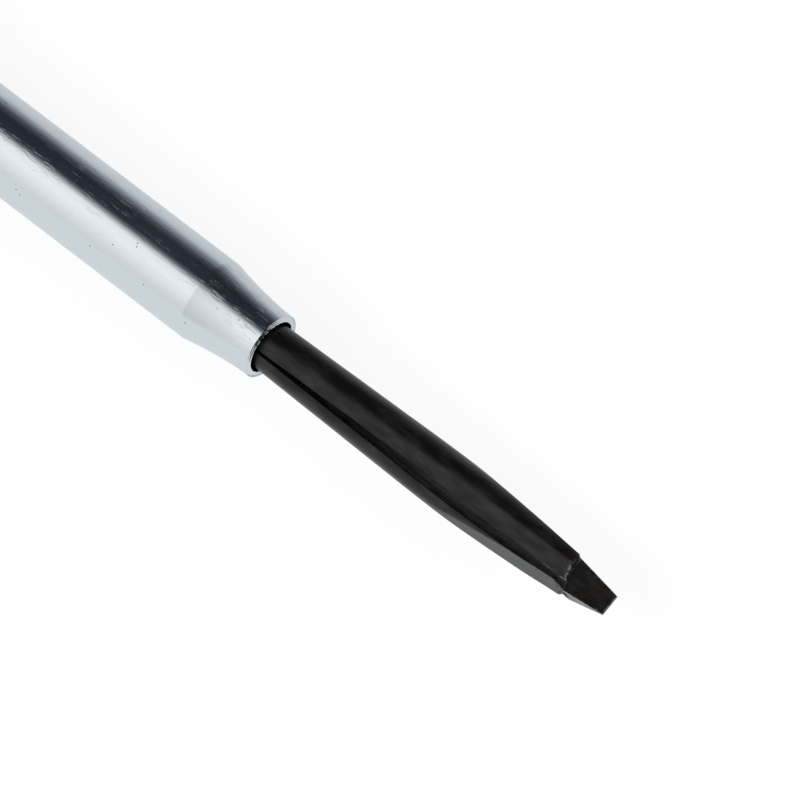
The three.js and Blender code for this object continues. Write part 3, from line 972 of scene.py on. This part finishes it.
@dataclass
class SlidingSleeve:
    """Bright tube with a swaged nose, its thumb collar, set screws, bush and friction ring."""

    rear: float = 105.95
    nose_rear: float = 171.35
    mouth: float = MOUTH
    radius: float = 4.75
    bore: float = 3.85
    mouth_radius: float = 3.775
    mouth_bore: float = 3.025
    nose_curve: float = 1.7
    rim_edge: float = 0.15
    # Marks of the facing tool on the rim: depth, pitch of the grooves and slope of the face
    rim_marks: float = 0.06
    rim_pitch: float = 0.24
    rim_slope: float = 0.3
    rim_zone: float = 0.6
    # How finely unevenness and chatter change along and across the rim
    rim_grain: tuple[float, float] = (6.0, 9.0)
    chatter_grain: tuple[float, float] = (14.0, 20.0)
    # Shares of grooves, an even cut, unevenness and chatter in the marks' depth
    mark_shares: tuple[float, float, float, float] = (0.45, 0.3, 0.35, 0.3)
    rear_edge: float = 0.1
    bore_edge: float = 0.05
    steps: int = 256
    nose_steps: int = 64
    tube_steps: int = 40
    face_steps: int = 16
    rim_steps: int = 6
    sharp_deg: float = 50.0

    def build(self, wardrobe: Wardrobe) -> None:
        """Builds and finishes the tube and the pieces that go with it.

        Args:
            wardrobe: Finishes that the pieces are given.
        """
        wardrobe.dress(self._tube(), ZINC, Body.SLEEVE, "sleeve_tube")
        pieces = (
            ("thumb_collar", 0.12, ZINC, Body.SLEEVE),
            ("collar_screw_left", 0.06, OXIDE, Body.SLEEVE),
            ("collar_screw_right", 0.06, OXIDE, Body.SLEEVE),
            ("guide_bush", 0.08, BRASS, Body.SLEEVE),
            ("friction_ring", 0.02, RUBBER, Body.CARRIAGE),
        )
        for node, edge, finish, body in pieces:
            wardrobe.dress(rounded_copy(node, edge, node + "_finished"), finish, body, node)

    def _nose(self, outer: float, inner: float) -> list[tuple[float, float]]:
        """Works out the outline of the nose, which flattens out towards the mouth.

        Args:
            outer: Radius at the rear of the nose.
            inner: Radius at the mouth.

        Returns:
            Points from the rear to the mouth.
        """
        front = self.mouth - self.rim_edge
        return [
            (lerp(self.nose_rear, front, s), lerp(inner, outer, (1 - s) ** self.nose_curve))
            for s in spread(0, 1, self.nose_steps)
        ]

    def _outline(self) -> list[tuple[float, float]]:
        """Works out the loop of the tube's wall.

        Returns:
            Points along the outside, over the rim and back through the bore.
        """
        edge = self.rim_edge
        rim = [
            (self.mouth - edge + edge * math.sin(a), self.mouth_radius - edge + edge * math.cos(a))
            for a in spread(0, math.pi / 2, self.rim_steps)[1:]
        ]
        radii = spread(self.mouth_radius - edge, self.mouth_bore + self.bore_edge, self.face_steps)
        face = [(self.mouth, r) for r in radii[1:]]
        cut = self.rear_edge
        return [
            *((self.rear, r) for r in (self.bore, self.radius - cut)),
            *((x, self.radius) for x in spread(self.rear + cut, self.nose_rear - cut, self.tube_steps)),
            *self._nose(self.radius, self.mouth_radius),
            *rim,
            *face,
            *reversed(self._nose(self.bore, self.mouth_bore)),
        ]

    def _tube(self) -> bpy.types.Object:
        """Turns the wall, then slopes the rim and marks it as the facing tool would.

        Returns:
            The tube.
        """
        skin = Skin()
        skin.lathe(self._outline(), self.steps, looped=True)
        grooved, even, uneven, chattered = self.mark_shares
        for vert in skin.bm.verts:
            if vert.co.x > self.mouth - self.rim_zone * self.rim_edge:
                angle = math.atan2(vert.co.z, vert.co.y)
                radius = vert.co.yz.length
                rough = self._rim_noise(angle, radius, self.rim_grain)
                chatter = self._rim_noise(angle, radius, self.chatter_grain)
                groove = 0.5 + 0.5 * math.sin(2 * math.pi * radius / self.rim_pitch + 2 * rough)
                marks = grooved * groove + even + uneven * rough + chattered * max(0.0, chatter)
                vert.co.x -= self.rim_slope * (radius - self.mouth_bore)
                vert.co.x -= self.rim_marks * marks
        return skin.object("sleeve_tube_plated", self.sharp_deg)

    def _rim_noise(self, angle: float, radius: float, grain: tuple[float, float]) -> float:
        """Noise round the rim, from how finely it changes along the rim and across it."""
        along, across = grain
        return noise.noise(Vector((along * math.cos(angle), along * math.sin(angle), across * radius)))


@dataclass
class Grip:
    """Fluted handle with its cap, ferrule and pin, the rubber bumper and the shank."""

    rear: float = 7.15
    barrel: float = 14.15
    taper: float = 56.15
    flare: float = 82.15
    shoulder: float = 90.15
    neck: float = 97.15
    rear_radius: float = 12.2
    barrel_radius: float = 13.5
    waist_radius: float = 9.2
    flare_radius: float = 10.0
    neck_radius: float = 7.4
    flutes: int = 6
    flute_depth: float = 1.8
    flute_sharpness: float = 1.5
    flute_inset: float = 4.0
    flute_runout: float = 9.0
    cap_length: float = 7.0
    cap_fillet: float = 3.0
    # Radius and front of the spigot inside the handle
    spigot: tuple[float, float] = (6.0, 15.0)
    edge: float = 0.5
    neck_edge: float = 0.3
    cap_edge: float = 0.25
    butt_rings: tuple[float, ...] = (2.0, 5.0, 8.0)
    steps: int = 240
    length_steps: int = 170
    edge_steps: int = 5
    fillet_steps: int = 16

    def build(self, wardrobe: Wardrobe) -> None:
        """Builds and finishes the handle and what is fixed to it.

        Args:
            wardrobe: Finishes that the pieces are given.
        """
        wardrobe.dress(self._handle(), ACETATE, Body.GRIP, "handle")
        wardrobe.dress(self._cap(), CAP_PLASTIC, Body.GRIP, "butt_cap")
        pieces = (
            ("ferrule", 0.05, ZINC),
            ("tang_pin", 0.1, STEEL),
            ("bumper_washer", 0.15, RUBBER),
            ("shank", 0.12, STEEL),
            ("stop_ring", 0.05, OXIDE),
            ("pivot_pin", 0.08, STEEL),
        )
        for node, edge, finish in pieces:
            wardrobe.dress(rounded_copy(node, edge, node + "_finished"), finish, Body.GRIP, node)

    def _land_radius(self, x: float) -> float:
        """Works out the radius of the lands between the flutes.

        Args:
            x: Place along the axis.

        Returns:
            The radius.
        """
        if x < self.barrel:
            rise = math.sin(math.pi / 2 * (x - self.rear) / (self.barrel - self.rear))
            return lerp(self.rear_radius, self.barrel_radius, rise)
        if x < self.flare:
            return lerp(self.barrel_radius, self.waist_radius, smoothstep(self.taper, self.flare, x))
        return lerp(self.waist_radius, self.flare_radius, smoothstep(self.flare, self.shoulder, x))

    def _handle_ring(self, x: float, inset: float = 0.0) -> Ring:
        """Works out a ring of the handle, with its flutes.

        Args:
            x: Place along the axis.
            inset: How far the ring is drawn in.

        Returns:
            The ring.
        """
        start, end = self.rear + self.flute_inset, self.flare - self.flute_inset
        runout = self.flute_runout
        fade = smoothstep(start, start + runout, x) * (1 - smoothstep(end - runout, end, x))
        ring = []
        for i in range(self.steps):
            angle = 2 * math.pi * i / self.steps
            hollow = (0.5 - 0.5 * math.cos(self.flutes * angle)) ** self.flute_sharpness
            r = self._land_radius(x) - self.flute_depth * fade * hollow - inset
            ring.append(Vector((x, r * math.cos(angle), r * math.sin(angle))))
        return ring

    def _handle(self) -> bpy.types.Object:
        """Lofts the handle, with rounded ends and the neck that the ferrule sits on.

        Returns:
            The handle.
        """
        skin = Skin()
        edge = self.edge
        places = spread(self.rear + edge, self.shoulder - edge, self.length_steps)
        turns = spread(0, math.pi / 2, self.edge_steps)[1:]
        arc = [(edge * (1 - math.sin(a)), edge * (1 - math.cos(a))) for a in turns]
        rear = [self._handle_ring(self.rear + back, inset) for back, inset in reversed(arc)]
        front = [self._handle_ring(self.shoulder - back, inset) for back, inset in arc]
        skin.loft([*rear, *(self._handle_ring(x) for x in places), *front])
        neck = [(x, self.neck_radius) for x in (self.shoulder - edge, self.neck - self.neck_edge)]
        skin.lathe([*neck, (self.neck, self.neck_radius - self.neck_edge)], self.steps)
        return skin.object("handle_polished")

    def _cap(self) -> bpy.types.Object:
        """Turns the cap, whose flat end is the butt face, and its spigot.

        Returns:
            The cap.
        """
        fillet = [
            (self.cap_fillet * (1 - math.cos(a)), self.rear_radius - self.cap_fillet * (1 - math.sin(a)))
            for a in spread(0, math.pi / 2, self.fillet_steps)
        ]
        skin = Skin()
        skin.lathe(
            [
                *((0.0, r) for r in self.butt_rings),
                *fillet,
                (self.cap_length - self.cap_edge, self.rear_radius),
                (self.cap_length, self.rear_radius - self.cap_edge),
                (self.cap_length, self.spigot[0]),
                (self.spigot[1], self.spigot[0]),
            ],
            self.steps,
        )
        return skin.object("butt_cap_moulded")


# Studio


@dataclass
class Studio:
    """White floor, soft light, and the camera at the photo's angle; lamp sizes are in metres."""

    tilt: float = math.radians(23)
    roll: float = math.radians(16.5)
    slant: float = math.radians(37.28)
    pixels_per_mm: float = 9.76
    picture: float = 800.0
    mouth: float = MOUTH
    mouth_pixel: tuple[float, float] = (271.4, 347.3)
    distance: float = 1400.0
    sensor: float = 36.0
    floor_half: float = 3.0
    lift: float = 0.72
    lamp_place: tuple[float, float, float] = (0.05, -0.45, 0.7)
    lamp_target: tuple[float, float, float] = (0.15, 0.0, 0.0)
    lamp_size: tuple[float, float] = (0.6, 0.4)
    lamp_watts: float = 2.0
    clip: tuple[float, float] = (0.01, 20.0)
    paper: str = "#f7f7f7"
    white: str = "#ffffff"
    # Shades that reflections show: the floor's by millimetres along Y, the tent's by degrees about the
    # axis from the camera's side, and the tent's fade by how far a reflection points along X
    floor_span: tuple[float, float] = (-100.0, 200.0)
    floor_shades: Shades = ((-100, "#e2e4e5"), (0, "#dfe2e4"), (12, "#d2d5d8"), (140, "#c6c9cc"))
    tent_span: tuple[float, float] = (-180.0, 180.0)
    tent_shades: Shades = (
        (-180, "#e2e2e2"),
        (-60, "#e0e1e2"),
        (-14, "#ffffff"),
        (6, "#f6f6f6"),
        (22, "#63676d"),
        (30, "#2a2e36"),
        (62, "#23262d"),
        (78, "#4a4e54"),
        (92, "#85898e"),
        (108, "#c4c6c8"),
        (180, "#d8d8d8"),
    )
    tent_fade: Outline = ((0.35, 1.0), (0.5, 0.8), (0.6, 0.35), (0.7, 0.22))

    def build(self) -> None:
        """Sets up the floor, the light and the camera."""
        self._floor()
        self._world()
        self._lamp()
        self._camera()

    def _back(self) -> Vector:
        """Direction from the object to the camera."""
        level = math.cos(self.tilt)
        return Vector((math.sin(self.tilt), -level * math.sin(self.roll), level * math.cos(self.roll)))

    def _stops(self, shades: Shades, span: tuple[float, float]) -> Stops:
        """Ramp stops for shades at places within a span."""
        low, high = span
        return [((place - low) / (high - low), linear(code)) for place, code in shades]

    def _camera(self) -> None:
        """Puts the camera far off with a long lens, so lines stay as parallel as in the photo."""
        back = self._back()
        axis = Vector((1, 0, 0))
        along = (axis - back * axis.dot(back)).normalized()
        across = back.cross(along)
        right = along * math.cos(self.slant) + across * math.sin(self.slant)
        up = across * math.cos(self.slant) - along * math.sin(self.slant)
        centre = self.picture / 2
        shift_x, shift_y = (((centre - p) / self.pixels_per_mm) for p in self.mouth_pixel)
        target = Vector((self.mouth, 0, 0)) + right * shift_x - up * shift_y
        data = bpy.data.cameras.new("camera")
        data.sensor_width = self.sensor
        data.lens = self.sensor * self.distance * self.pixels_per_mm / self.picture
        data.clip_start, data.clip_end = self.clip
        camera = bpy.data.objects.new("camera", data)
        bpy.context.scene.collection.objects.link(camera)
        turn = Matrix((right, up, back)).transposed().to_4x4()
        camera.matrix_world = Matrix.Translation((target + back * self.distance) * MM) @ turn
        bpy.context.scene.camera = camera

    def _floor(self) -> None:
        """Lays a white floor under the lowest point, lifted to white where it is looked at; in reflections
        it shows a painted reflection instead, a grey ramp that darkens towards +Y.
        """
        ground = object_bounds()[0].z
        half = self.floor_half
        mesh = bpy.data.meshes.new("floor")
        corners = [(-half, -half), (half, -half), (half, half), (-half, half)]
        mesh.from_pydata([(x, y, ground) for x, y in corners], [], [(0, 1, 2, 3)])
        floor = bpy.data.objects.new("floor", mesh)
        bpy.context.scene.collection.objects.link(floor)
        material = bpy.data.materials.new("Paper, matt white")
        material.use_nodes = True
        graph = Graph(material.node_tree)
        paper = graph.add("BsdfDiffuse", {"Color": linear(self.paper)})
        glow = graph.add("Emission", {"Color": linear(self.white), "Strength": 1.0})
        path = graph.add("LightPath")
        seen = graph.add(
            "Math",
            {0: path.outputs["Is Camera Ray"], 1: path.outputs["Is Transmission Ray"]},
            operation="MAXIMUM",
        )
        share = graph.add("Math", {0: seen, 1: self.lift}, operation="MULTIPLY")
        lifted = graph.add("MixShader", {0: share, 1: paper, 2: glow})
        # Painted reflection: glossy rays see this emitted grey ramp, darker towards +Y, in place of the
        # paper
        across = graph.add("SeparateXYZ", {0: graph.add("TexCoord").outputs["Object"]}).outputs["Y"]
        low, high = (place * MM for place in self.floor_span)
        place = graph.add("MapRange", {"Value": across, "From Min": low, "From Max": high})
        shade = graph.add("ValToRGB", {"Fac": place}, self._stops(self.floor_shades, self.floor_span))
        mirrored = graph.add("Emission", {"Color": shade, "Strength": 1.0})
        mixed = graph.add("MixShader", {0: path.outputs["Is Glossy Ray"], 1: lifted, 2: mirrored})
        graph.add("OutputMaterial", {"Surface": mixed})
        mesh.materials.append(material)
        floor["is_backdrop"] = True

    def _world(self) -> None:
        """White tent whose open side is a dark strip, which only reflections show."""
        world = bpy.data.worlds.new("tent")
        bpy.context.scene.world = world
        world.use_nodes = True
        graph = Graph(world.node_tree)
        direction = graph.add("TexCoord").outputs["Generated"]
        facing = Vector((0, -math.sin(self.roll), math.cos(self.roll)))
        beside = Vector((0, math.cos(self.roll), math.sin(self.roll)))
        over = graph.add("VectorMath", {0: direction, 1: facing}, operation="DOT_PRODUCT").outputs["Value"]
        side = graph.add("VectorMath", {0: direction, 1: beside}, operation="DOT_PRODUCT").outputs["Value"]
        angle = graph.add("Math", {0: side, 1: over}, operation="ARCTAN2")
        low, high = (math.radians(turn) for turn in self.tent_span)
        share = graph.add("MapRange", {"Value": angle, "From Min": low, "From Max": high})
        tent = graph.add("ValToRGB", {"Fac": share}, self._stops(self.tent_shades, self.tent_span))
        ahead = graph.add("SeparateXYZ", {0: direction}).outputs["X"]
        level = graph.add("MapRange", {"Value": ahead, "From Min": -1.0, "From Max": 1.0})
        fade = graph.add("ValToRGB", {"Fac": level}, self.tent_fade)
        faded = graph.add("MixRGB", {"Fac": 1.0, "Color1": tent, "Color2": fade}, blend_type="MULTIPLY")
        mirrored = graph.add("LightPath").outputs["Is Glossy Ray"]
        colour = graph.add("MixRGB", {"Fac": mirrored, "Color1": linear(self.white), "Color2": faded})
        background = graph.add("Background", {"Color": colour, "Strength": 1.0})
        graph.add("OutputWorld", {"Surface": background})

    def _lamp(self) -> None:
        """Hangs a large soft lamp over the object's left, which reflections don't show."""
        data = bpy.data.lights.new("softbox", "AREA")
        data.shape = "RECTANGLE"
        data.size, data.size_y = self.lamp_size
        data.energy = self.lamp_watts
        lamp = bpy.data.objects.new("softbox", data)
        bpy.context.scene.collection.objects.link(lamp)
        lamp.location = self.lamp_place
        lamp.rotation_mode = "QUATERNION"
        facing = Vector(self.lamp_target) - Vector(self.lamp_place)
        lamp.rotation_quaternion = facing.to_track_quat("-Z", "Y")
        lamp.visible_glossy = False


def main() -> None:
    """Builds every sub-assembly in order, then the studio."""
    logging.basicConfig(level=logging.INFO, format="%(name)s: %(message)s")
    bpy.context.scene.view_settings.view_transform = "Standard"
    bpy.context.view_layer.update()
    wardrobe = Wardrobe()
    for assembly in (SplitBlade(), SlidingSleeve(), Grip()):
        assembly.build(wardrobe)
    Studio().build()


if __name__ == "__main__":
    main()
